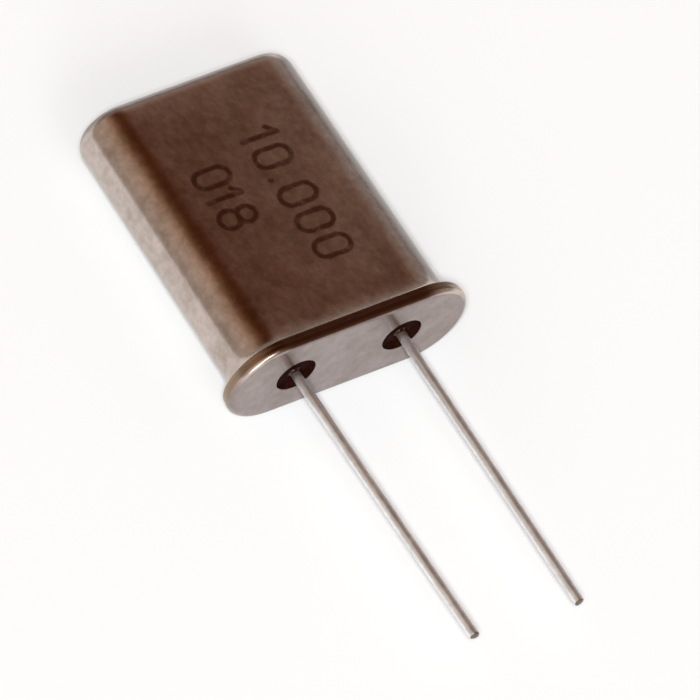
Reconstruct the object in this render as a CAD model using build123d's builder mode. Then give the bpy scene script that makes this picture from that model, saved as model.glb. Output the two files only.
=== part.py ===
"""Two-lead quartz crystal unit in a flanged metal can.

The unit lies on its unmarked broad side. +X runs along the width and the lead pitch, +Y runs from
the leads towards the closed end of the can, and +Z points up through the marked broad side. The
origin is the centre of the base's outer face, where the unit seats on a circuit board.
All sizes are in millimetres and all angles in degrees.
"""

import os
from math import cos, radians, sin, sqrt

from build123d import *

# Can: a drawn cover with a flat flange round its mouth
CAN_WIDTH = 9.9
CAN_THICKNESS = 3.46
CAN_HEIGHT = 13.15  # base's outer face to the closed end
CAN_WALL = 0.2  # sheet thickness of wall, closed end and flange
CAN_DRAFT = 0.45  # lean of each wall towards the closed end
CAN_END_RADIUS = 0.6  # outside radius round the closed end
FLANGE_ROOT_RADIUS = 0.18  # outside radius where the wall turns into the flange

# Base: a coined plate whose plateau fits into the can's mouth
FLANGE_RIM = 0.51  # the base flange's reach beyond the can's wall
FLANGE_STEP = 0.03  # the can's flange stops this far inside the base's flange
BASE_FLANGE = 0.35
BASE_EDGE_RADIUS = 0.25  # rounded outer edge round the seating face
PLATEAU_HEIGHT = 0.75
PLATEAU_CLEARANCE = 0.05  # between the plateau and the can's wall, each side
PLATEAU_EDGE = 0.1

# Leads and the glass that seals them
LEAD_PITCH = 4.88
LEAD_DIAMETER = 0.43  # where the lead is tinned
TIN_COAT = 0.01  # thickness of the tinning over the bare wire
TINNING_GAP = 0.05  # bare wire between the base's outer face and the tinning
TINNING_FEATHER = 0.6  # length over which the tinning grows to its full thickness
LEAD_LENGTHS = {"left": 13.2, "right": 13.5}  # below the base's outer face
LEAD_LEANS = {"left": 1.0, "right": 0.0}  # towards the other lead, from the tinning on
LEAD_TIP_CHAMFER = 0.04
GLASS_DIAMETER = 1.74
GLASS_SAG = 0.16  # depth of the glass's hollow below its rim
GLASS_RIM = 0.04  # the glass's rim lies this far inside the base's outer face
GLASS_CREEP = 0.08  # how far the inner glass stands above the plateau, at the wire

# Mounting clips: bent ribbons welded to flats on the lead posts
POST_HEIGHT = 0.95  # lead standing above the plateau
POST_FLAT = 0.06  # depth of the coined flat, on the post's outward side
RIBBON_THICKNESS = 0.1
RIBBON_WIDTH = 0.9
RIBBON_GAP = 0.12  # between the ribbon's foot and the plateau
RIBBON_SLANT = 1.5  # length along Y over which the ribbon leans outwards
RIBBON_TOP = 0.5  # ribbon above the slot
SLOT_CLEARANCE = 0.04  # round the quartz, each side

# Quartz blank with its electrodes
BLANK_SIDE_GAP = 0.75  # least room between the blank's rim and the can's wall, each side
BLANK_FOOT_GAP = 0.5  # least room between the blank's rim and the lead posts, along Y
BLANK_THICKNESS = 0.165
BLANK_BITE = 0.08  # how far the blank's rim reaches into the clip's slot
BLANK_END_GAP = 1.4  # from the blank's rim to the inside of the closed end
ELECTRODE_DIAMETER = 4.6
ELECTRODE_THICKNESS = 0.02
TAB_WIDTH = 0.8
TAB_GAP = 0.02  # between the tab's end and the clip
ADHESIVE_RADIUS = 0.55

# Places that follow from the sizes above
FLANGE_TOP = BASE_FLANGE + CAN_WALL
PLATEAU_TOP = BASE_FLANGE + PLATEAU_HEIGHT
POST_TOP = PLATEAU_TOP + POST_HEIGHT
LEAD_CORE_DIAMETER = LEAD_DIAMETER - 2 * TIN_COAT
ROOM_ACROSS = CAN_WIDTH - 2 * (CAN_WALL + BLANK_SIDE_GAP)
ROOM_ALONG = CAN_HEIGHT - CAN_WALL - BLANK_END_GAP - POST_TOP - BLANK_FOOT_GAP
BLANK_DIAMETER = min(ROOM_ACROSS, ROOM_ALONG)
BLANK_CENTRE = CAN_HEIGHT - CAN_WALL - BLANK_END_GAP - BLANK_DIAMETER / 2
CLIP_FACE = BLANK_DIAMETER / 2 - BLANK_BITE  # X of the clip's side that faces the blank
SLOT_HALF = sqrt((BLANK_DIAMETER / 2) ** 2 - CLIP_FACE**2) + SLOT_CLEARANCE
POST_FACE = LEAD_PITCH / 2 + LEAD_CORE_DIAMETER / 2 - POST_FLAT

SIDES = {"left": -1, "right": 1}  # sign of X


def across(y):
    """Plane across the unit's length at height y, with +Y as its normal."""
    return Plane(origin=(0, y, 0), x_dir=(1, 0, 0), z_dir=(0, 1, 0))


def rounded_bar(inset):
    """Outline with two flat sides and two full round ends, inset from the can's outside."""
    SlotOverall(CAN_WIDTH - 2 * inset, CAN_THICKNESS - 2 * inset)


def top_edges(part):
    """Edges of the face that lies farthest towards the closed end."""
    return part.faces().sort_by(Axis.Y)[-1].edges()


def is_corner(edge, y):
    """Whether an edge lies flat at height y on the can's outline, and not on the flange's."""
    box = edge.bounding_box()
    flat = abs(box.min.Y - y) < 1e-4 and abs(box.max.Y - y) < 1e-4
    narrow = max(box.max.X, -box.min.X) < (CAN_WIDTH + FLANGE_RIM) / 2
    thin = max(box.max.Z, -box.min.Z) < (CAN_THICKNESS + FLANGE_RIM) / 2
    return flat and narrow and thin


def make_can():
    """Drawn cover: tapered wall, round closed end and flat flange in one sheet."""
    with BuildPart() as cavity:
        with BuildSketch(across(BASE_FLANGE)):
            rounded_bar(CAN_WALL)
        extrude(amount=CAN_HEIGHT - CAN_WALL - BASE_FLANGE, taper=CAN_DRAFT)
        fillet(top_edges(cavity), CAN_END_RADIUS - CAN_WALL)

    with BuildPart() as can:
        with BuildSketch(across(BASE_FLANGE)):
            rounded_bar(0)
        extrude(amount=CAN_HEIGHT - BASE_FLANGE, taper=CAN_DRAFT)
        fillet(top_edges(can), CAN_END_RADIUS)
        with BuildSketch(across(BASE_FLANGE)):
            rounded_bar(FLANGE_STEP - FLANGE_RIM)
        extrude(amount=CAN_WALL)
        root = can.edges().filter_by(lambda edge: is_corner(edge, FLANGE_TOP))
        fillet(root, FLANGE_ROOT_RADIUS)
        add(cavity.part, mode=Mode.SUBTRACT)
        mouth = can.edges().filter_by(lambda edge: is_corner(edge, BASE_FLANGE))
        fillet(mouth, FLANGE_ROOT_RADIUS + CAN_WALL)
    return can.part


def make_base_plate():
    """Coined plate with a rounded seating edge, a plateau and two holes for the glass."""
    with BuildPart() as plate:
        with BuildSketch(across(0)):
            rounded_bar(-FLANGE_RIM)
        extrude(amount=BASE_FLANGE)
        fillet(plate.faces().sort_by(Axis.Y)[0].edges(), BASE_EDGE_RADIUS)
        with BuildSketch(across(BASE_FLANGE)):
            rounded_bar(CAN_WALL + PLATEAU_CLEARANCE)
        extrude(amount=PLATEAU_HEIGHT, taper=CAN_DRAFT)
        chamfer(top_edges(plate), PLATEAU_EDGE)
        with BuildSketch(across(0)):
            with GridLocations(LEAD_PITCH, 0, 2, 1):
                Circle(GLASS_DIAMETER / 2)
        extrude(amount=PLATEAU_TOP, mode=Mode.SUBTRACT)
    return plate.part


def make_glass(side):
    """Glass seal round one lead, hollowed on the outside and domed up the wire inside."""
    x = SIDES[side] * LEAD_PITCH / 2
    wire = LEAD_CORE_DIAMETER / 2
    wall = GLASS_DIAMETER / 2
    middle = (wire + wall) / 2
    with BuildPart() as glass:
        with BuildSketch() as section:
            with BuildLine():
                outer = ThreePointArc(
                    (x + wire, GLASS_RIM), (x + middle, GLASS_RIM + GLASS_SAG), (x + wall, GLASS_RIM)
                )
                inner = ThreePointArc(
                    (x + wall, PLATEAU_TOP),
                    (x + middle, PLATEAU_TOP + GLASS_CREEP / 4),
                    (x + wire, PLATEAU_TOP + GLASS_CREEP),
                )
                Line(outer @ 1, inner @ 0)
                Line(inner @ 1, outer @ 0)
            make_face()
        revolve(section.sketch, axis=Axis((x, 0, 0), (0, 1, 0)))
    return glass.part


def make_lead(side):
    """Wire through the glass: bare inside, tinned below the base and cut square at its tip."""
    sign = SIDES[side]
    x = sign * LEAD_PITCH / 2
    lean = radians(LEAD_LEANS[side])
    tinned_from = TINNING_GAP + TINNING_FEATHER
    tinned = Plane(origin=(x, -tinned_from, 0), z_dir=(-sign * sin(lean), -cos(lean), 0))
    with BuildPart() as lead:
        with BuildSketch(across(-TINNING_GAP)) as bare:
            with Locations((x, 0)):
                Circle(LEAD_CORE_DIAMETER / 2)
        extrude(amount=TINNING_GAP + POST_TOP)
        with BuildSketch(tinned) as full:
            Circle(LEAD_DIAMETER / 2)
        extrude(amount=(LEAD_LENGTHS[side] - tinned_from) / cos(lean))
        loft([bare.sketch, full.sketch])
        chamfer(lead.faces().sort_by(Axis.Y)[0].edges(), LEAD_TIP_CHAMFER)
        with BuildSketch(across(PLATEAU_TOP + RIBBON_GAP)):
            with Locations((sign * (POST_FACE + POST_FLAT), 0)):
                Rectangle(2 * POST_FLAT, LEAD_CORE_DIAMETER)
        extrude(amount=POST_TOP, mode=Mode.SUBTRACT)
    return lead.part


def make_clip(side):
    """Bent ribbon, welded to the post's flat and slotted for the quartz's rim."""
    sign = SIDES[side]
    foot = PLATEAU_TOP + RIBBON_GAP
    bend = POST_TOP + RIBBON_SLANT
    top = BLANK_CENTRE + SLOT_HALF + RIBBON_TOP
    with BuildPart() as clip:
        with BuildSketch():
            with BuildLine():
                inside = Polyline(
                    (sign * POST_FACE, foot),
                    (sign * POST_FACE, POST_TOP),
                    (sign * CLIP_FACE, bend),
                    (sign * CLIP_FACE, top),
                )
                outside = Polyline(
                    (sign * (CLIP_FACE + RIBBON_THICKNESS), top),
                    (sign * (CLIP_FACE + RIBBON_THICKNESS), bend),
                    (sign * (POST_FACE + RIBBON_THICKNESS), POST_TOP),
                    (sign * (POST_FACE + RIBBON_THICKNESS), foot),
                )
                Line(inside @ 1, outside @ 0)
                Line(outside @ 1, inside @ 0)
            make_face()
        extrude(amount=RIBBON_WIDTH / 2, both=True)
        with BuildSketch(Plane.YZ):
            with Locations((BLANK_CENTRE, 0)):
                Rectangle(2 * SLOT_HALF, BLANK_THICKNESS + 2 * SLOT_CLEARANCE)
        extrude(amount=sign * CAN_WIDTH, mode=Mode.SUBTRACT)
    return clip.part


def make_blank():
    """Round plate of quartz, standing between the two clips."""
    with BuildPart() as blank:
        with BuildSketch():
            with Locations((0, BLANK_CENTRE)):
                Circle(BLANK_DIAMETER / 2)
        extrude(amount=BLANK_THICKNESS / 2, both=True)
    return blank.part


def make_electrode(face, side):
    """Silver film on one face of the quartz, with a tab towards one clip."""
    tab_end = CLIP_FACE - TAB_GAP
    with BuildPart() as film:
        with BuildSketch(Plane.XY.offset(face * BLANK_THICKNESS / 2)):
            with Locations((0, BLANK_CENTRE)):
                Circle(ELECTRODE_DIAMETER / 2)
            with Locations((SIDES[side] * tab_end / 2, BLANK_CENTRE)):
                Rectangle(tab_end, TAB_WIDTH)
        extrude(amount=face * ELECTRODE_THICKNESS)
    return film.part


def make_adhesive(face, side, film):
    """Dab of conductive adhesive that joins the film's tab to the clip."""
    sign = SIDES[side]
    blank_face = Plane.XY.offset(face * BLANK_THICKNESS / 2)
    clip_face = Plane.YZ.offset(sign * CLIP_FACE)
    with BuildPart() as dab:
        with Locations((sign * CLIP_FACE, BLANK_CENTRE, 0)):
            Sphere(ADHESIVE_RADIUS)
        split(bisect_by=blank_face, keep=Keep.TOP if face > 0 else Keep.BOTTOM)
        split(bisect_by=clip_face, keep=Keep.BOTTOM if sign > 0 else Keep.TOP)
        add(film, mode=Mode.SUBTRACT)
    return dab.part


front_film = make_electrode(1, "right")
back_film = make_electrode(-1, "left")

pieces = {
    "can": make_can(),
    "base_plate": make_base_plate(),
    "quartz_blank": make_blank(),
    "electrode_front": front_film,
    "electrode_back": back_film,
    "adhesive_right": make_adhesive(1, "right", front_film),
    "adhesive_left": make_adhesive(-1, "left", back_film),
}
for side in SIDES:
    pieces[f"glass_bead_{side}"] = make_glass(side)
    pieces[f"lead_{side}"] = make_lead(side)
    pieces[f"mounting_clip_{side}"] = make_clip(side)

os.makedirs("parts", exist_ok=True)
for name, piece in pieces.items():
    piece.label = name
    export_step(piece, f"parts/{name}.step")
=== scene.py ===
"""Visible model of a two-lead quartz crystal unit: tarnished metal can, base, glass and tinned leads."""

from math import cos, exp, pi, radians, sin, tan

import bmesh
import bpy
from mathutils import Matrix, Vector, noise


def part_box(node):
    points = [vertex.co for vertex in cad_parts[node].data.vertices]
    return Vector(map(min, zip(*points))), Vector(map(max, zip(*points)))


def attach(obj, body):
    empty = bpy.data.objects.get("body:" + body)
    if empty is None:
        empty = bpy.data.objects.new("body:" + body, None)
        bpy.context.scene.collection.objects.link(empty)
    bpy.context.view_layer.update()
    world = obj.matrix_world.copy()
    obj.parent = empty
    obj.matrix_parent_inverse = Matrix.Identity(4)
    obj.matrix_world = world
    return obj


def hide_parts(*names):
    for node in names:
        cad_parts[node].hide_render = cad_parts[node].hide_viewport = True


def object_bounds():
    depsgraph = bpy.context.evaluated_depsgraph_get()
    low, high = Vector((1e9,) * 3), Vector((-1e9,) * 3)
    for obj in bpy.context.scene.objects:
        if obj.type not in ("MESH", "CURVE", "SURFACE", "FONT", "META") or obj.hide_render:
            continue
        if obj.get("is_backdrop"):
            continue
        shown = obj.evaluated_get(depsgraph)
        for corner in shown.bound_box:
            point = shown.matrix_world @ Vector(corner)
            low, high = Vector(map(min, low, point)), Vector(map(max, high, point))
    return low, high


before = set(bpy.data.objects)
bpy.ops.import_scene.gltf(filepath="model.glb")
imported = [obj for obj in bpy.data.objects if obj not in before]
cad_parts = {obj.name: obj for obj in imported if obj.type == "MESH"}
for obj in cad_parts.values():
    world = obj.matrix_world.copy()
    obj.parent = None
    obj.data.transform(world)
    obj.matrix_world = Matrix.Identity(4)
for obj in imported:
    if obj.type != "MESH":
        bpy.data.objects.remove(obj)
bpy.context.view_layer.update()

bl_info = {
    "name": "Crystal Unit",
    "version": (1, 0, 0),
    "blender": (4, 5, 0),
    "location": "View3D > Sidebar > Crystal Unit",
    "description": "Builds a two-lead quartz crystal unit in a flanged metal can",
    "category": "Add Mesh",
}

MM = 0.001
SIDES = {"left": -1, "right": 1}  # sign of X


def box_of(node):
    """Lowest and highest corner of a node of the frame, in millimetres."""
    return [[value / MM for value in corner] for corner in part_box(node)]


# Places taken from the frame, in millimetres
CAN_LOW, CAN_HIGH = box_of("can")
BASE_HIGH = box_of("base_plate")[1]
GLASS_LOW, GLASS_HIGH = box_of("glass_bead_right")
LEAD_HIGH = box_of("lead_right")[1]
LEAD_TIPS = {side: box_of(f"lead_{side}")[0][1] for side in SIDES}
RIM_RADIUS = BASE_HIGH[2]  # of the base flange, about the middle line
CAN_RIM_RADIUS = CAN_HIGH[2]
SPINE = BASE_HIGH[0] - RIM_RADIUS  # half length of the middle line that every outline is swept about
GLASS_RADIUS = (GLASS_HIGH[0] - GLASS_LOW[0]) / 2
LEAD_X = (GLASS_HIGH[0] + GLASS_LOW[0]) / 2

# Shape details that no setting changes, in millimetres
END_RADIUS = 1.73  # of the round ends, along which the crown's fall is measured
SETTLE = 0.5  # distance round an end over which the crown dies away
CLIP_SEAT = 1.22  # height of the step below the flat that each clip is welded to
BEND = -0.65  # height at which the left lead starts to lean
FEATHER = 0.6  # length over which the tinning grows to its full thickness
TINNED_FROM = -0.05  # height at which the tinning starts, just below the glass
TIP = 0.10  # length of the rounding at each lead's tip
SNIP = 0.15  # slope of each lead's cut tip
UNEVEN = 0.008  # how far the tinning varies

# Steps
ARC_STEPS = 48  # round each end of an outline
FLAT_STEPS = 20  # along each straight side of an outline
HOLE_STEPS = 64  # round the holes and the glass
LEAD_STEPS = 28  # round each lead
LEAD_ROWS = 110  # along the tinned part of each lead


def length(label, default, description):
    """A length setting, given in millimetres and kept in metres."""
    return bpy.props.FloatProperty(
        name=label, description=description, default=default * MM, min=0, precision=5, unit="LENGTH"
    )


def angle(label, default, description):
    """An angle setting, given in degrees and kept in radians."""
    return bpy.props.FloatProperty(
        name=label, description=description, default=radians(default), precision=3, unit="ROTATION"
    )


def colour(label, default, description):
    """A colour setting."""
    return bpy.props.FloatVectorProperty(
        name=label, description=description, default=default, min=0, max=1, size=3, subtype="COLOR"
    )


class CRYSTAL_PG_sizes(bpy.types.PropertyGroup):
    """Sizes that the frame doesn't give."""

    wall_radius: length("Can Radius", 1.73, "Outside radius of the can's round ends, at the flange")
    draft: angle("Draft", 0.45, "Lean of the can's wall towards the closed end")
    sheet: length("Sheet", 0.2, "Thickness of the can's sheet metal")
    end_radius: length("End Radius", 0.6, "Reach of the rounding at the closed end, across the wall")
    end_height: length("End Rounding Height", 0.75, "Height of the rounding at the closed end")
    crown: length("Crown", 0.06, "How far the broad sides bulge at their middle")
    flare_height: length("Flare Height", 0.9, "Height over which the wall flares out to the flange")
    flare_reach: length("Flare Reach", 0.4, "How far the flare reaches beyond the wall")
    rim_round: length("Rim Rounding", 0.05, "Radius of the can flange's edges")
    seating_round: length("Seating Rounding", 0.25, "Radius round the base's outer face")
    plateau_gap: length("Plateau Gap", 0.25, "From the can's outside to the base's plateau")
    hole_round: length("Hole Rounding", 0.03, "Radius of the rim of each hole for the glass")
    glass_rim: length("Glass Rim", 0.04, "How far the glass's rim lies inside the outer face")
    glass_sag: length("Glass Sag", 0.16, "Depth of the hollow in the glass")
    wire_radius: length("Wire Radius", 0.205, "Radius of the bare lead")
    tin_radius: length("Tinned Radius", 0.215, "Radius of the tinned lead")
    lean: angle("Left Lean", 1.0, "Lean of the left lead towards the right one")


class CRYSTAL_PG_finish(bpy.types.PropertyGroup):
    """Colours of the finishes."""

    can: colour("Can", (0.55, 0.48, 0.445), "Tarnished sheet metal")
    base: colour("Base", (0.330, 0.275, 0.266), "Coined base plate")
    rim: colour("Weld Tint", (0.29, 0.20, 0.13), "Metal discoloured by the weld, round the ends")
    # Weld Burn: weld discolouration, made darker along the sides as painted shade
    weld_burn_and_shade: colour("Weld Burn", (0.14, 0.060, 0.028), "Metal darkened by the weld, along the sides")
    # Worn Edge: painted highlight, a lighter colour on the upper side of the base's round ends
    edge: colour("Worn Edge", (0.80, 0.69, 0.60), "Base's edge, worn bright round the ends")
    ink: colour("Marking", (0.19, 0.105, 0.070), "Marking on the broad side")
    glass: colour("Glass", (0.010, 0.0022, 0.0014), "Sealing glass")
    tin: colour("Tin", (0.93, 0.95, 0.96), "Tinned wire")
    wire: colour("Bare Wire", (0.50, 0.40, 0.33), "Wire where it isn't tinned")
    clip: colour("Clip", (0.60, 0.56, 0.52), "Mounting ribbons")
    quartz: colour("Quartz", (0.80, 0.83, 0.84), "Quartz blank")
    silver: colour("Silver", (0.86, 0.84, 0.80), "Electrode film")
    adhesive: colour("Adhesive", (0.44, 0.42, 0.40), "Conductive adhesive")
    floor: colour("Floor", (0.825, 0.875, 0.90), "Table that the unit lies on")


# ---------------------------------------------------------------- shader maths


class Value:
    """A number in a shader tree. Arithmetic on it adds Math nodes."""

    def __init__(self, tree, socket):
        self.tree = tree
        self.socket = socket

    def math(self, operation, *others):
        """A Math node with this value first."""
        node = self.tree.nodes.new("ShaderNodeMath")
        node.operation = operation
        for place, item in enumerate((self, *others)):
            put(self.tree, node.inputs[place], item)
        return Value(self.tree, node.outputs[0])

    def swapped(self, operation, other):
        """A Math node with this value second, for a number on the left."""
        node = self.tree.nodes.new("ShaderNodeMath")
        node.operation = operation
        put(self.tree, node.inputs[0], other)
        put(self.tree, node.inputs[1], self)
        return Value(self.tree, node.outputs[0])

    def __add__(self, other):
        return self.math("ADD", other)

    def __radd__(self, other):
        return self.swapped("ADD", other)

    def __sub__(self, other):
        return self.math("SUBTRACT", other)

    def __rsub__(self, other):
        return self.swapped("SUBTRACT", other)

    def __mul__(self, other):
        return self.math("MULTIPLY", other)

    def __rmul__(self, other):
        return self.swapped("MULTIPLY", other)

    def __truediv__(self, other):
        return self.math("DIVIDE", other)

    def __rtruediv__(self, other):
        return self.swapped("DIVIDE", other)

    def __pow__(self, other):
        return self.math("POWER", other)

    def __abs__(self):
        return self.math("ABSOLUTE")

    def root(self):
        return self.math("SQRT")

    def least(self, other):
        return self.math("MINIMUM", other)

    def most(self, other):
        return self.math("MAXIMUM", other)

    def ramp(self, low, high, to_low=0.0, to_high=1.0):
        """Smooth step from to_low, at low, to to_high, at high."""
        node = self.tree.nodes.new("ShaderNodeMapRange")
        node.interpolation_type = "SMOOTHSTEP"
        for name, item in zip(
            ("Value", "From Min", "From Max", "To Min", "To Max"), (self, low, high, to_low, to_high)
        ):
            put(self.tree, node.inputs[name], item)
        return Value(self.tree, node.outputs[0])


def put(tree, socket, item):
    """Links a value to a socket, or sets the socket to a plain number or colour."""
    if isinstance(item, Value):
        tree.links.new(item.socket, socket)
    elif socket.type == "RGBA" and len(item) == 3:
        socket.default_value = (*item, 1.0)
    else:
        socket.default_value = item


class Finish:
    """The node tree of a material or of the world, emptied and ready for new nodes."""

    def __init__(self, owner):
        owner.use_nodes = True
        self.tree = owner.node_tree
        self.tree.nodes.clear()

    def node(self, kind, inputs=None, output=0, stops=None, **settings):
        """Adds a node: its settings first, then the values or links of its sockets."""
        node = self.tree.nodes.new(kind)
        for name, item in settings.items():
            setattr(node, name, item)
        if stops:
            elements = node.color_ramp.elements
            while len(elements) < len(stops):
                elements.new(0.5)
            for element, (place, shade) in zip(elements, stops):
                element.position = place
                element.color = (*shade, 1.0)
        for name, item in (inputs or {}).items():
            put(self.tree, node.inputs[name], item)
        return Value(self.tree, node.outputs[output]) if node.outputs else None

    def place(self):
        """X, Y and Z on the piece in millimetres, and the three together."""
        metres = self.node("ShaderNodeTexCoord", output="Object")
        spot = self.node("ShaderNodeVectorMath", {0: metres, "Scale": 1 / MM}, operation="SCALE")
        return (*(self.part(spot, place) for place in range(3)), spot)

    def part(self, vector, place):
        """X, Y or Z of a vector."""
        return self.node("ShaderNodeSeparateXYZ", {0: vector}, output=place)

    def stretch(self, vector, factors):
        """Vector with its parts scaled, so that a pattern on it runs along the smallest factor."""
        return self.node("ShaderNodeVectorMath", {0: vector, 1: factors}, operation="MULTIPLY")

    def grain(self, vector, scale, detail=3.0, roughness=0.5, offset=None):
        """Noise from 0 to 1, with its features about 1/scale millimetres apart."""
        if offset is not None:
            vector = self.node("ShaderNodeVectorMath", {0: vector, 1: offset}, operation="ADD")
        inputs = {"Vector": vector, "Scale": scale, "Detail": detail, "Roughness": roughness}
        return self.node("ShaderNodeTexNoise", inputs)

    def mix(self, share, first, second):
        """Blend from the first colour to the second."""
        inputs = {0: share, 6: first, 7: second}
        return self.node("ShaderNodeMix", inputs, output=2, data_type="RGBA")

    def from_spine(self, x, z):
        """How far a place lies beyond the middle line's end, and its distance from the line."""
        beyond = (abs(x) - SPINE).most(0.0)
        return beyond, (beyond**2 + z**2).root()

    def surface(self, **inputs):
        """Closes the tree with a Principled shader, its sockets named with underscores."""
        sockets = {name.replace("_", " "): item for name, item in inputs.items()}
        shader = self.node("ShaderNodeBsdfPrincipled", sockets)
        self.node("ShaderNodeOutputMaterial", {"Surface": shader})

    def bump(self, height):
        """Normal of a surface with a relief of that height in millimetres."""
        return self.node("ShaderNodeBump", {"Height": height, "Distance": MM})


def new_finish(name):
    """A new material and its emptied node tree."""
    material = bpy.data.materials.new(name)
    return material, Finish(material)


def toned(shade, factor, offset=0.0):
    """A plain colour made darker or lighter."""
    return tuple(min(1.0, channel * factor + offset) for channel in shade)


def tarnished(finish, spot, base, patch, seed):
    """Colour and the patterns, from 0 to 1, of sheet metal with old tarnish on it."""
    near = Vector(seed)
    broad = finish.grain(spot, 0.55, 3, 0.5, near)
    fine = finish.grain(spot, 2.6, 5, 0.65, near + Vector((31, 7, 3)))
    dust = finish.grain(spot, 14, 3, 0.6, near + Vector((3, 17, 9)))
    pits = dust.ramp(0.72, 0.80)
    warm = (1.0, 0.93, 0.85)
    dark = tuple(channel * (1 - 2.2 * patch) * tone for channel, tone in zip(base, warm))
    patches = broad.ramp(0.3, 0.7) * 0.4 + fine.ramp(0.25, 0.75) * 0.6
    shade = finish.mix(patches, dark, toned(base, 1 + patch))
    shade = finish.mix(pits * 0.6, shade, toned(base, 0.35))
    return shade, broad, fine, dust, pits


# ---------------------------------------------------------------- finishes


MARK_START = 9.75  # height of the marking's first figure, in millimetres


def stroke_line(u, v, start, end):
    """Distance from a straight stroke of the marking."""
    across_u = end[0] - start[0]
    across_v = end[1] - start[1]
    size = across_u**2 + across_v**2
    along = ((u - start[0]) * across_u + (v - start[1]) * across_v) / size
    along = along.most(0.0).least(1.0)
    return ((u - start[0] - along * across_u) ** 2 + (v - start[1] - along * across_v) ** 2).root()


def stroke_loop(u, v, centre, half, radius):
    """Distance from a closed stroke with straight sides of twice half and round ends."""
    rise = v - centre[1]
    if half:
        rise = rise - rise.most(-half).least(half)
    return abs(((u - centre[0]) ** 2 + rise**2).root() - radius)


def marking(u, v):
    """Distance from the nearest stroke of two rows of plain figures.

    The rows run along u, from the closed end to the flange, and the figures stand up along v.
    """
    strokes = [
        # A one and a dot in the upper row
        stroke_line(u, v, (0.32, 0.30), (0.32, 1.87)),
        stroke_line(u, v, (-0.02, 1.52), (0.32, 1.87)),
        stroke_line(u, v, (2.32, 0.40), (2.34, 0.42)),
        # A one in the lower row
        stroke_line(u, v, (2.32, -2.45), (2.32, -0.92)),
        stroke_line(u, v, (2.02, -1.25), (2.32, -0.92)),
        # An eight and a nought in the lower row
        stroke_loop(u, v, (3.30, -1.30), 0, 0.37),
        stroke_loop(u, v, (3.30, -2.06), 0, 0.42),
        stroke_loop(u, v, (1.30, -1.70), 0.36, 0.40),
    ]
    for centre in (1.35, 3.28, 4.60, 5.92):  # Noughts in the upper row
        strokes.append(stroke_loop(u, v, (centre, 1.085), 0.36, 0.42))
    nearest = strokes[0]
    for stroke in strokes[1:]:
        nearest = nearest.least(stroke)
    return nearest


def weld_tint_and_shade(finish, shade, tint_and_shade, fine, x, colours):
    """Rim discoloured by the weld and darkened with painted shade: darkest along the sides and paler round
    the ends.
    """
    weld = finish.mix(abs(x).ramp(SPINE - 0.4, SPINE + 1.2), colours.weld_burn_and_shade, colours.rim)
    return finish.mix(tint_and_shade * (0.75 + 0.25 * fine), shade, weld)


def can_finish(colours):
    """Tarnished sheet metal with painted shade and a painted sheen in places, with the marking on the upper
    broad side.
    """
    material, finish = new_finish("can_metal_tarnished")
    x, y, z, spot = finish.place()
    beyond, radius = finish.from_spine(x, z)
    top = CAN_HIGH[1]
    shade, broad, fine, _, pits = tarnished(finish, spot, colours.can, 0.14, (0, 0, 0))
    # Weld tint on the can's rim, darkened further as painted shade
    tint_and_shade = radius.ramp(CAN_RIM_RADIUS - 0.16, CAN_RIM_RADIUS - 0.04) * y.ramp(0.8, 0.6)
    shade = weld_tint_and_shade(finish, shade, tint_and_shade, fine, x, colours)

    # Painted sheen: the upper broad side made lighter towards the closed end
    painted_sheen = y.ramp(top - 1.5, top - 0.6) * z.ramp(1.2, 1.5) * 0.45
    shade = finish.mix(painted_sheen, shade, tuple(channel**0.5 for channel in colours.can))
    turned = z / radius  # 1 where the wall faces up, 0 where it faces sideways
    # Painted shade: darker colour at the closed end, on a band round the right end and under the left end
    closed_end_shade = y.ramp(top - 0.52, top - 0.22) * 0.75
    right_end_shade = x.ramp(SPINE, SPINE + 0.1) * turned.ramp(0.955, 0.845) * turned.ramp(0.52, 0.70) * 0.82
    left_underside_shade = x.ramp(-SPINE, -SPINE - 0.1) * turned.ramp(0.05, -0.30) * 0.22
    painted_shade = closed_end_shade.most(right_end_shade).most(left_underside_shade)
    shade = finish.mix(painted_shade, shade, toned(colours.can, 0.25))

    wobble = finish.grain(spot, 3.2, 2, 0.5, (5, 2, 8))
    stroke = marking(MARK_START - y, x) + (wobble - 0.5) * 0.10
    wear = finish.grain(spot, 1.9, 4, 0.65, (2, 9, 4)).ramp(0.28, 0.55, 0.50, 1.0)
    ink = stroke.ramp(0.17, 0.06) * z.ramp(1.2, 1.4) * wear
    shade = finish.mix(ink, shade, colours.ink)

    rough = 0.16 + broad * 0.04 + fine * 0.04 + pits * 0.15 + ink * 0.10 + tint_and_shade * 0.06
    drawn = finish.grain(finish.stretch(spot, (9.0, 0.5, 9.0)), 1.5, 3, 0.6)
    calm = beyond.ramp(0.3, 1.2, 1.0, 0.35)
    waves = (broad * 0.045 + fine * 0.0042) * calm + drawn * 0.001
    normal = finish.bump(waves - pits * 0.0015 - ink * 0.0012)
    finish.surface(Base_Color=shade, Metallic=1.0, Roughness=rough, Normal=normal)
    return material


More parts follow.
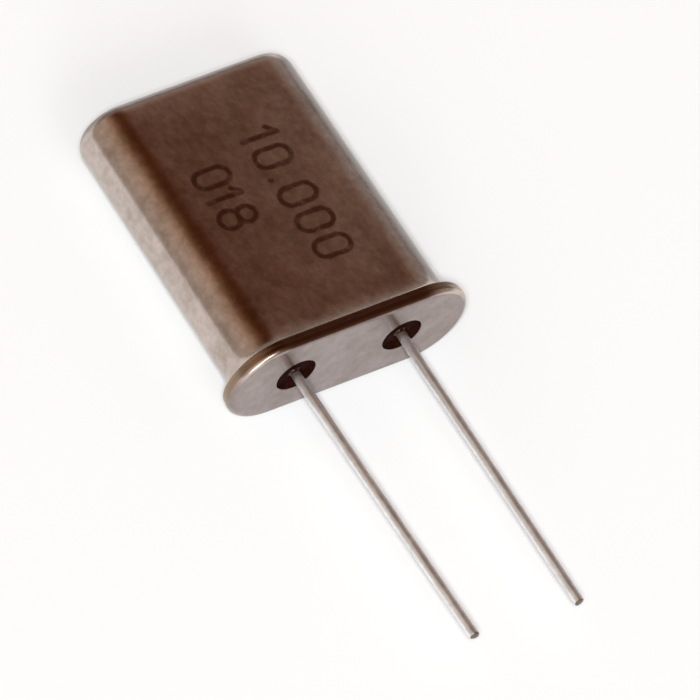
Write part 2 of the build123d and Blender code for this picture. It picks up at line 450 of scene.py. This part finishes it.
def base_finish(colours):
    """Coined metal, tinted by the weld with painted shade, and with a painted highlight on the upper side
    of its round ends.
    """
    material, finish = new_finish("base_metal_coined")
    x, y, z, spot = finish.place()
    radius = finish.from_spine(x, z)[1]
    shade, broad, fine, dust, pits = tarnished(finish, spot, colours.base, 0.12, (11, 4, 6))
    ends = abs(x).ramp(SPINE - 0.2, SPINE + 0.8)
    # Weld tint on the base's edge, reaching further in as painted shade
    tint_and_shade_start = ends * 0.13  # height from the seating face
    tint_and_shade = radius.ramp(RIM_RADIUS - 0.26, RIM_RADIUS - 0.10) * (y - tint_and_shade_start).ramp(-0.01, 0.07)
    shade = weld_tint_and_shade(finish, shade, tint_and_shade, fine, x, colours)
    # Painted highlight: the base's edge made lighter on its upper side round the ends
    upper = (z / radius).ramp(0.15, 0.85)
    painted_highlight = radius.ramp(RIM_RADIUS - 0.20, RIM_RADIUS - 0.12) * y.ramp(0.21, 0.15) * ends * upper
    shade = finish.mix(painted_highlight * (0.45 + 0.35 * fine), shade, colours.edge)
    rough = 0.15 + broad * 0.04 + fine * 0.04 + pits * 0.15 + tint_and_shade * 0.04 + painted_highlight * 0.06
    waves = broad * 0.008 + fine * 0.0022 + dust * 0.0004
    normal = finish.bump(waves - pits * 0.0012)
    finish.surface(Base_Color=shade, Metallic=1.0, Roughness=rough, Normal=normal)
    return material


def glass_finish(colours):
    """Near-black glass with a clear glaze where it climbs the wire."""
    material, finish = new_finish("seal_glass_dark")
    x, _, z, spot = finish.place()
    cloud = finish.grain(spot, 2.4, 3, 0.55).ramp(0.3, 0.75)
    reach = ((abs(x) - LEAD_X) ** 2 + z**2).root()
    glaze = reach.ramp(0.29, 0.24)
    shade = finish.mix(cloud, colours.glass, toned(colours.glass, 2.0, 0.001))
    rough = 0.10 + cloud * 0.06
    normal = finish.bump(cloud * 0.003)
    finish.surface(
        Base_Color=shade,
        Roughness=rough,
        Normal=normal,
        Specular_IOR_Level=0.004,
        Coat_Weight=glaze,
        Coat_Roughness=0.08,
    )
    return material


def lead_finish(colours):
    """Streaky tinning, bare wire at the glass and cut tips showing bare wire, darkened further as painted
    shade.
    """
    material, finish = new_finish("lead_wire_tinned")
    x, y, _, spot = finish.place()
    streaks = finish.grain(finish.stretch(spot, (4.0, 0.35, 4.0)), 2.2, 4, 0.6).ramp(0.3, 0.7)
    blotch = finish.grain(spot, 2.2, 3, 0.6, (7, 1, 2)).ramp(0.35, 0.7)
    pits = finish.grain(spot, 17, 2, 0.5, (1, 6, 3)).ramp(0.66, 0.74)
    tinned = y.ramp(-0.03, -0.30)
    tin = finish.mix(streaks * 0.5 + blotch * 0.5, toned(colours.tin, 0.72), colours.tin)
    tin = finish.mix(pits * 0.5, tin, toned(colours.tin, 0.3))
    shade = finish.mix(tinned, colours.wire, tin)
    # Cut tips: darkened bare-wire colour, partly the bare core and partly painted shade
    tips = x.ramp(-0.1, 0.1, LEAD_TIPS["left"], LEAD_TIPS["right"])
    cut = (y - tips).ramp(0.08, 0.05)
    shade = finish.mix(cut, shade, toned(colours.wire, 0.35))
    rough = 0.28 + streaks * 0.08 + blotch * 0.08 + pits * 0.1
    normal = finish.bump(streaks * 0.003 + blotch * 0.006 - pits * 0.002)
    finish.surface(Base_Color=shade, Metallic=0.88, Roughness=rough, Normal=normal)
    return material


def plain_metal(name, base, rough, scale, seed):
    """Clean metal with rolling marks, for the ribbons and films inside the can."""
    material, finish = new_finish(name)
    spot = finish.place()[3]
    rolled = finish.grain(finish.stretch(spot, (6.0, 0.6, 6.0)), scale, 3, 0.6, seed)
    spots = finish.grain(spot, scale, 4, 0.6, seed).ramp(0.35, 0.75)
    shade = finish.mix(spots, toned(base, 0.8), base)
    roughness = rough + rolled * 0.10 + spots * 0.05
    normal = finish.bump(rolled * 0.003)
    finish.surface(Base_Color=shade, Metallic=1.0, Roughness=roughness, Normal=normal)
    return material


def quartz_finish(colours):
    """Lapped quartz, clear with a slight cloud."""
    material, finish = new_finish("quartz_lapped")
    spot = finish.place()[3]
    lapped = finish.grain(spot, 22, 3, 0.6)
    cloud = finish.grain(spot, 1.1, 3, 0.5, (3, 2, 1)).ramp(0.3, 0.7)
    shade = finish.mix(cloud, toned(colours.quartz, 0.9), colours.quartz)
    rough = 0.25 + lapped * 0.2
    normal = finish.bump(lapped * 0.003)
    finish.surface(
        Base_Color=shade, Roughness=rough, Normal=normal, IOR=1.54, Transmission_Weight=0.6
    )
    return material


def adhesive_finish(colours):
    """Dull adhesive full of silver flakes."""
    material, finish = new_finish("adhesive_silver_filled")
    spot = finish.place()[3]
    flakes = finish.grain(spot, 9, 4, 0.7)
    cloud = finish.grain(spot, 2.5, 3, 0.5, (6, 5, 4))
    shade = finish.mix(flakes.ramp(0.35, 0.65), toned(colours.adhesive, 0.55), colours.adhesive)
    metal = flakes.ramp(0.45, 0.65, 0.2, 0.8)
    rough = 0.42 + cloud * 0.2
    normal = finish.bump(flakes * 0.01 + cloud * 0.01)
    finish.surface(Base_Color=shade, Metallic=metal, Roughness=rough, Normal=normal)
    return material


# ---------------------------------------------------------------- shapes


def stations():
    """Places round an outline: X on the middle line, outward direction, and share of the crown.

    The crown's share falls from 1 at the middle of a broad side and settles to 0 round each end.
    """
    places = []
    for sign, first in ((1, -90), (-1, 90)):
        for step in range(ARC_STEPS + 1):
            turn = radians(first + 180 * step / ARC_STEPS)
            from_side = END_RADIUS * min(step, ARC_STEPS - step) * pi / ARC_STEPS
            share = -2 / SPINE * from_side * exp(-from_side / SETTLE)
            places.append((sign * SPINE, cos(turn), sin(turn), share))
        for step in range(1, FLAT_STEPS):
            x = sign * SPINE * (1 - 2 * step / FLAT_STEPS)
            places.append((x, 0.0, float(sign), 1 - (x / SPINE) ** 2))
    return places


def ring(mesh, radius, y, crown=0.0):
    """One loop of vertices round the outline."""
    loop = []
    for x, out_x, out_z, share in stations():
        reach = radius + crown * share
        loop.append(mesh.verts.new(Vector((x + out_x * reach, y, out_z * reach)) * MM))
    return loop


def circle(mesh, x, radius, y, steps=HOLE_STEPS, flat=None):
    """One loop of vertices round a line along Y, cut off at flat on its inner or outer side."""
    loop = []
    for step in range(steps):
        turn = 2 * pi * step / steps
        across = radius * cos(turn)
        if flat is not None:
            across = min(across, flat) if flat > 0 else max(across, flat)
        loop.append(mesh.verts.new(Vector((x + across, y, radius * sin(turn))) * MM))
    return loop


def bridge(mesh, first, second):
    """Quads between two loops with the same number of vertices."""
    count = len(first)
    for place in range(count):
        after = (place + 1) % count
        mesh.faces.new((first[place], first[after], second[after], second[place]))


def loop_edges(mesh, loop):
    """Edges of a loop that already bounds faces."""
    return [mesh.edges.get((loop[place - 1], loop[place])) for place in range(len(loop))]


def sweep(mesh, loops):
    """Quads along a row of loops."""
    for first, second in zip(loops, loops[1:]):
        bridge(mesh, first, second)


def middle(loop):
    """Centre of a loop of vertices."""
    return sum((vertex.co for vertex in loop), Vector()) / len(loop)


def smooth(share):
    """Smooth step from 0 to 1."""
    share = min(1.0, max(0.0, share))
    return share * share * (3 - 2 * share)


def finished(name, mesh, material, node, crease):
    """Turns mesh data into a piece that stands for a node of the frame, with its crease in degrees."""
    bmesh.ops.remove_doubles(mesh, verts=mesh.verts, dist=1e-8)
    bmesh.ops.recalc_face_normals(mesh, faces=mesh.faces)
    data = bpy.data.meshes.new(name)
    mesh.to_mesh(data)
    mesh.free()
    data.shade_smooth()
    data.set_sharp_from_angle(angle=radians(crease))
    data.materials.append(material)
    piece = bpy.data.objects.new(name, data)
    bpy.context.scene.collection.objects.link(piece)
    weighted = piece.modifiers.new("even shading", "WEIGHTED_NORMAL")
    weighted.keep_sharp = True
    weighted.weight = 60
    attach(piece, "root")
    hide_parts(node)
    return piece


def arc(centre, radii, first, last, steps):
    """Points (radius, y) on an elliptical arc, with its angles in degrees from outward to +Y."""
    points = []
    for step in range(steps + 1):
        turn = radians(first + (last - first) * step / steps)
        points.append((centre[0] + radii[0] * cos(turn), centre[1] + radii[1] * sin(turn)))
    return points


def make_can(sizes, colours):
    """Closed shell of the can, swept round the outline from its closed end to its mouth and back."""
    wall = sizes.wall_radius / MM
    sheet = sizes.sheet / MM
    corner = sizes.end_radius / MM
    round_up = sizes.end_height / MM
    rise = sizes.flare_height / MM
    reach = sizes.flare_reach / MM
    edge = sizes.rim_round / MM
    foot = CAN_LOW[1]
    flange = foot + sheet
    top = CAN_HIGH[1]
    slope = tan(sizes.draft)

    def at(y, inset=0.0):
        """Radius of the drafted wall at a height."""
        return wall - inset - slope * (y - foot)

    # Closed end and its rounding
    shoulder = top - round_up
    outside = [(0.0, top), (0.5, top), (at(top) - corner - 0.06, top)]
    outside += arc((at(shoulder) - corner, shoulder), (corner, round_up), 90, 0, 18)
    # Wall, then the flare to the flange
    start = flange + rise
    rows = 26
    for step in range(1, rows):
        y = shoulder + (start - shoulder) * step / rows
        outside.append((at(y), y))
    outside += arc((at(start) + reach, start), (reach, rise), 180, 270, 14)
    # Flange's rounded edge, with a row beside each rounding to keep the flats flat
    lip = CAN_RIM_RADIUS - edge
    outside += [(lip - 0.02, flange)]
    outside += arc((lip, flange - edge), (edge, edge), 90, 0, 6)
    outside += arc((lip, foot + edge), (edge, edge), 0, -90, 6)
    outside += [(lip - 0.02, foot)]
    # Mouth, inner wall and the inside of the closed end
    mouth = (0.5, 0.55)
    inside = arc((at(foot, sheet) + mouth[0], foot + mouth[1]), mouth, 270, 180, 10)
    inside += [(at(y, sheet), y) for y in (2.5, 5.0, 8.0, 10.5)]
    inner = corner - sheet
    ceiling = top - sheet
    inside += arc((at(top, sheet) - inner, ceiling - inner), (inner, inner), 0, 90, 8)
    inside += [(0.5, ceiling), (0.0, ceiling)]

    mesh = bmesh.new()
    loops = []
    for radius, y in outside:
        bulge = smooth((y - start) / 2.2) * smooth((top - 0.5 - y) / 1.8)
        loops.append(ring(mesh, radius, y, sizes.crown / MM * bulge))
    loops += [ring(mesh, radius, y) for radius, y in inside]
    sweep(mesh, loops)
    return finished("can_shell", mesh, can_finish(colours), "can", 38.0)


def make_base(sizes, colours):
    """Coined base: rounded seating edge, flange, plateau and two holes for the glass."""
    seating = sizes.seating_round / MM
    rim = sizes.hole_round / MM
    top = BASE_HIGH[1]
    flange = CAN_LOW[1]
    edge = 0.03
    plateau = sizes.wall_radius / MM - sizes.plateau_gap / MM
    outline = [(RIM_RADIUS - seating - 0.05, 0.0)]
    outline += arc((RIM_RADIUS - seating, seating), (seating, seating), -90, 0, 10)
    outline += arc((RIM_RADIUS - edge, flange - edge), (edge, edge), 0, 90, 4)
    outline += [(plateau + 0.05, flange), (plateau, flange), (plateau - 0.005, top - 0.1)]
    outline += [(plateau - 0.1, top), (plateau - 0.14, top)]
    hole = [(GLASS_RADIUS + rim + 0.03, 0.0)]
    hole += arc((GLASS_RADIUS + rim, rim), (rim, rim), -90, -180, 4)
    hole += [(GLASS_RADIUS, 0.3), (GLASS_RADIUS, 0.7), (GLASS_RADIUS, top), (GLASS_RADIUS + 0.03, top)]

    mesh = bmesh.new()
    rows = [[ring(mesh, radius, y) for radius, y in outline]]
    for sign in SIDES.values():
        rows.append([circle(mesh, sign * LEAD_X, radius, y) for radius, y in hole])
    for loops in rows:
        sweep(mesh, loops)
    for end in (0, -1):  # Outer face, then the plateau, each with its two holes
        edges = [edge for loops in rows for edge in loop_edges(mesh, loops[end])]
        bmesh.ops.triangle_fill(mesh, edges=edges, use_beauty=True, use_dissolve=False)
    return finished("base_shell", mesh, base_finish(colours), "base_plate", 38.0)


def make_glass(sizes, side, material):
    """Glass seal with a hollow face that creeps up the wall of the hole and up the wire."""
    wire = sizes.wire_radius / MM
    rim = sizes.glass_rim / MM
    sag = sizes.glass_sag / MM
    x = SIDES[side] * LEAD_X
    width = GLASS_RADIUS - wire
    climb = 0.08  # of the inner face, up the wire
    shoulder = GLASS_HIGH[1] - climb
    outer_steps = 18
    inner_steps = 8
    outline = []
    for step in range(outer_steps + 1):
        share = step / outer_steps
        hollow = (1 - (2 * share - 1) ** 4) ** 0.6
        outline.append((wire + width * share, rim + sag * hollow))
    outline += [(GLASS_RADIUS, 0.5), (GLASS_RADIUS, shoulder)]
    for step in range(inner_steps + 1):
        share = step / inner_steps
        outline.append((GLASS_RADIUS - width * share, shoulder + climb * share**3))
    mesh = bmesh.new()
    loops = [circle(mesh, x, radius, y) for radius, y in outline]
    sweep(mesh, loops)
    bridge(mesh, loops[-1], loops[0])
    node = f"glass_bead_{side}"
    return finished(f"glass_seal_{side}", mesh, material, node, 60.0)


def make_lead(sizes, side, material):
    """Wire with feathered, slightly uneven tinning, a coined flat inside and a snipped tip."""
    sign = SIDES[side]
    low = LEAD_TIPS[side]
    top = LEAD_HIGH[1]
    wire = sizes.wire_radius / MM
    tin = sizes.tin_radius / MM
    lean = tan(sizes.lean) if side == "left" else 0.0
    flat = (LEAD_HIGH[0] - LEAD_X - 0.06) * sign
    rows = [(top, wire - 0.02), (top - 0.02, wire)]
    rows += [(y, wire) for y in (1.9, 1.6, CLIP_SEAT + 0.01, CLIP_SEAT - 0.001, 1.0, 0.5, 0.0, TINNED_FROM)]
    for step in range(1, LEAD_ROWS + 1):
        y = TINNED_FROM + (low + TIP - TINNED_FROM) * step / LEAD_ROWS
        grown = smooth((TINNED_FROM - y) / FEATHER)
        uneven = noise.noise(Vector((sign * 3.1, y * 1.3, 0.4))) * UNEVEN
        rows.append((y, wire + (tin - wire) * grown + uneven * grown - 0.002 * grown))
    rows += [(low + TIP * 0.5, tin - 0.02), (low + TIP * 0.25, tin - 0.05)]
    mesh = bmesh.new()
    loops = []
    for y, radius in rows:
        x = sign * (LEAD_X - lean * max(0.0, BEND - y))
        loops.append(circle(mesh, x, radius, y, LEAD_STEPS, flat if y > CLIP_SEAT else None))
    for share, loop in zip((0.5, 0.8, 1.0), loops[-3:]):
        centre = middle(loop)
        for vertex in loop:
            vertex.co.y += sign * share * SNIP * (vertex.co.x - centre.x)
    sweep(mesh, loops)
    for loop in (loops[0], loops[-1]):
        hub = mesh.verts.new(middle(loop))
        for place, vertex in enumerate(loop):
            mesh.faces.new((loop[place - 1], vertex, hub))
    return finished(f"lead_wire_{side}", mesh, material, f"lead_{side}", 50.0)


# ---------------------------------------------------------------- stage

# Camera: lengths in millimetres, angles in degrees
CAMERA_AIM = (0.1564, 0.1956, 0.0)
CAMERA_AZIMUTH = -137.752
CAMERA_ELEVATION = 52.778
CAMERA_ROLL = 20.546
CAMERA_DISTANCE = 514.048
CAMERA_LENS = 683.59
SENSOR_WIDTH = 36.0

# Lamps: strength in watts per square metre, power in watts, lengths in metres, angles in degrees
SUN_STRENGTH = 3.14
SUN_ANGLE = 8
SOFTBOXES = {"low softbox": (-118, 14), "high softbox": (-106, 38)}  # azimuth and elevation
SOFTBOX_DISTANCE = 0.45
SOFTBOX_POWER = 0.30
SOFTBOX_SIZE = 0.17

FLOOR_REACH = 2  # from the middle of the floor to each side, in metres

# What the room shows above the horizon, by angle in degrees from +X up and over to -X
ROOM = (
    (0, (0.40, 0.35, 0.34)),
    (20, (0.365, 0.305, 0.285)),
    (40, (0.31, 0.235, 0.20)),
    (52, (0.268, 0.168, 0.128)),
    (61, (0.175, 0.088, 0.062)),
    (70, (0.108, 0.038, 0.017)),
    (84, (0.083, 0.022, 0.006)),
    (97, (0.118, 0.041, 0.015)),
    (108, (0.205, 0.10, 0.052)),
    (120, (0.43, 0.27, 0.18)),
    (132, (0.59, 0.43, 0.33)),
    (150, (0.60, 0.49, 0.41)),
    (168, (0.50, 0.41, 0.35)),
    (180, (0.54, 0.47, 0.42)),
)
ROOM_ENDS = (0.40, 0.34, 0.31)  # towards +Y and -Y
ROOM_BELOW = (0.93, 0.93, 0.93)  # below the horizon


def towards(azimuth, elevation):
    """Unit direction from an azimuth about +X and an elevation, in degrees."""
    level = cos(radians(elevation))
    return Vector(
        (level * cos(radians(azimuth)), level * sin(radians(azimuth)), sin(radians(elevation)))
    )


def facing(direction):
    """Rotation that turns a lamp or camera to look against a direction."""
    return (-direction).to_track_quat("-Z", "Y")


def make_floor(colours):
    """Matte floor under the lowest point of everything built so far."""
    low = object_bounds()[0][2]
    mesh = bmesh.new()
    for x, y in ((-1, -1), (1, -1), (1, 1), (-1, 1)):
        mesh.verts.new((x * FLOOR_REACH, y * FLOOR_REACH, low))
    mesh.faces.new(mesh.verts[:])
    data = bpy.data.meshes.new("floor")
    mesh.to_mesh(data)
    mesh.free()
    floor = bpy.data.objects.new("floor", data)
    bpy.context.scene.collection.objects.link(floor)
    material, finish = new_finish("floor_matte")
    spot = finish.place()[3]
    cloud = finish.grain(spot, 0.02, 2, 0.5)
    darker = tuple(channel * 0.985 for channel in colours.floor)
    shade = finish.mix(cloud, darker, colours.floor)
    finish.surface(Base_Color=shade, Roughness=0.9, Specular_IOR_Level=0.0)
    data.materials.append(material)
    floor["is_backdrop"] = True


def make_room():
    """Soft room: darker overhead and lighter at the sides, pale below the horizon."""
    world = bpy.data.worlds.new("room")
    bpy.context.scene.world = world
    finish = Finish(world)
    direction = finish.node("ShaderNodeTexCoord", output="Generated")
    x, y, z = (finish.part(direction, place) for place in range(3))
    turn = z.most(0.0).math("ARCTAN2", x) / pi
    stops = [(degrees / 180, shade) for degrees, shade in ROOM]
    walls = finish.node("ShaderNodeValToRGB", {"Fac": turn}, stops=stops)
    poles = abs(y).ramp(0.84, 0.99)
    walls = finish.mix(poles, walls, ROOM_ENDS)
    shade = finish.mix(z.ramp(-0.02, 0.0), ROOM_BELOW, walls)
    background = finish.node("ShaderNodeBackground", {"Color": shade, "Strength": 1.0})
    finish.node("ShaderNodeOutputWorld", {"Surface": background})


def add_lamp(name, kind, direction, distance, energy, in_gloss, **settings):
    """A lamp out along a direction, looking back. With in_gloss, the metal mirrors it."""
    data = bpy.data.lights.new(name, kind)
    data.energy = energy
    for setting, item in settings.items():
        setattr(data, setting, item)
    lamp = bpy.data.objects.new(name, data)
    lamp.location = direction * distance
    lamp.rotation_mode = "QUATERNION"
    lamp.rotation_quaternion = facing(direction)
    lamp.visible_glossy = in_gloss
    bpy.context.scene.collection.objects.link(lamp)


def make_camera():
    """Long-lens camera, rolled about its line of sight."""
    direction = towards(CAMERA_AZIMUTH, CAMERA_ELEVATION)
    level = (-direction).cross(Vector((0, 0, 1))).normalized()
    upright = level.cross(-direction)
    roll = radians(CAMERA_ROLL)
    right = level * cos(roll) + upright * sin(roll)
    up = right.cross(-direction)
    data = bpy.data.cameras.new("camera")
    data.lens = CAMERA_LENS
    data.sensor_width = SENSOR_WIDTH
    data.clip_start = 0.01
    data.clip_end = 10.0
    camera = bpy.data.objects.new("camera", data)
    turn = Matrix((right, up, direction)).transposed().to_4x4()
    place = Vector(CAMERA_AIM) * MM + direction * CAMERA_DISTANCE * MM
    camera.matrix_world = Matrix.Translation(place) @ turn
    bpy.context.scene.collection.objects.link(camera)
    bpy.context.scene.camera = camera


# ---------------------------------------------------------------- operators


class CRYSTAL_OT_stage(bpy.types.Operator):
    """Make the camera, the floor, the lamps and the room"""

    bl_idname = "crystal.stage"
    bl_label = "Stage"

    def execute(self, context):
        context.scene.view_settings.view_transform = "Standard"
        make_camera()
        make_floor(context.scene.crystal_finish)
        make_room()
        above = towards(CAMERA_AZIMUTH, CAMERA_ELEVATION)
        add_lamp("soft sun", "SUN", above, 1.0, SUN_STRENGTH, False, angle=radians(SUN_ANGLE))
        disk = {"shape": "DISK", "size": SOFTBOX_SIZE}
        for name, place in SOFTBOXES.items():
            add_lamp(name, "AREA", towards(*place), SOFTBOX_DISTANCE, SOFTBOX_POWER, True, **disk)
        return {"FINISHED"}


class CRYSTAL_OT_can(bpy.types.Operator):
    """Make the drawn metal can with its flange and marking"""

    bl_idname = "crystal.can"
    bl_label = "Can"

    def execute(self, context):
        make_can(context.scene.crystal_sizes, context.scene.crystal_finish)
        return {"FINISHED"}


class CRYSTAL_OT_base(bpy.types.Operator):
    """Make the coined base plate"""

    bl_idname = "crystal.base"
    bl_label = "Base"

    def execute(self, context):
        make_base(context.scene.crystal_sizes, context.scene.crystal_finish)
        return {"FINISHED"}


class CRYSTAL_OT_glass(bpy.types.Operator):
    """Make the two glass seals"""

    bl_idname = "crystal.glass"
    bl_label = "Glass Seals"

    def execute(self, context):
        material = glass_finish(context.scene.crystal_finish)
        for side in SIDES:
            make_glass(context.scene.crystal_sizes, side, material)
        return {"FINISHED"}


class CRYSTAL_OT_leads(bpy.types.Operator):
    """Make the two tinned leads"""

    bl_idname = "crystal.leads"
    bl_label = "Leads"

    def execute(self, context):
        material = lead_finish(context.scene.crystal_finish)
        for side in SIDES:
            make_lead(context.scene.crystal_sizes, side, material)
        return {"FINISHED"}


class CRYSTAL_OT_inside(bpy.types.Operator):
    """Give the ribbons, the quartz, its films and the adhesive their finishes"""

    bl_idname = "crystal.inside"
    bl_label = "Inside"

    def execute(self, context):
        colours = context.scene.crystal_finish
        clip = plain_metal("clip_ribbon_metal", colours.clip, 0.28, 2.5, (1, 8, 2))
        silver = plain_metal("electrode_silver_film", colours.silver, 0.20, 3.5, (9, 2, 7))
        quartz = quartz_finish(colours)
        adhesive = adhesive_finish(colours)
        finishes = {
            "mounting_clip_left": clip,
            "mounting_clip_right": clip,
            "electrode_front": silver,
            "electrode_back": silver,
            "quartz_blank": quartz,
            "adhesive_left": adhesive,
            "adhesive_right": adhesive,
        }
        for node, material in finishes.items():
            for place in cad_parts[node].material_slots:
                place.material = material
        return {"FINISHED"}


class CRYSTAL_PT_panel(bpy.types.Panel):
    """Lists the steps that build the unit"""

    bl_idname = "CRYSTAL_PT_panel"
    bl_label = "Crystal Unit"
    bl_space_type = "VIEW_3D"
    bl_region_type = "UI"
    bl_category = "Crystal Unit"

    def draw(self, context):
        for step in STEPS:
            self.layout.operator(step.bl_idname)
        for group in (context.scene.crystal_sizes, context.scene.crystal_finish):
            box = self.layout.box()
            for name in group.__annotations__:
                box.prop(group, name)


STEPS = (
    CRYSTAL_OT_stage,
    CRYSTAL_OT_can,
    CRYSTAL_OT_base,
    CRYSTAL_OT_glass,
    CRYSTAL_OT_leads,
    CRYSTAL_OT_inside,
)
GROUPS = (CRYSTAL_PG_sizes, CRYSTAL_PG_finish)


def register():
    """Registers the classes and puts the settings on the scene."""
    for item in (*GROUPS, *STEPS, CRYSTAL_PT_panel):
        bpy.utils.register_class(item)
    bpy.types.Scene.crystal_sizes = bpy.props.PointerProperty(type=CRYSTAL_PG_sizes)
    bpy.types.Scene.crystal_finish = bpy.props.PointerProperty(type=CRYSTAL_PG_finish)


def unregister():
    """Takes the settings and the classes away again."""
    del bpy.types.Scene.crystal_finish
    del bpy.types.Scene.crystal_sizes
    for item in reversed((*GROUPS, *STEPS, CRYSTAL_PT_panel)):
        bpy.utils.unregister_class(item)


def main():
    """Builds the whole unit."""
    register()
    bpy.ops.crystal.stage()
    bpy.ops.crystal.can()
    bpy.ops.crystal.base()
    bpy.ops.crystal.glass()
    bpy.ops.crystal.leads()
    bpy.ops.crystal.inside()


if __name__ == "__main__":
    main()
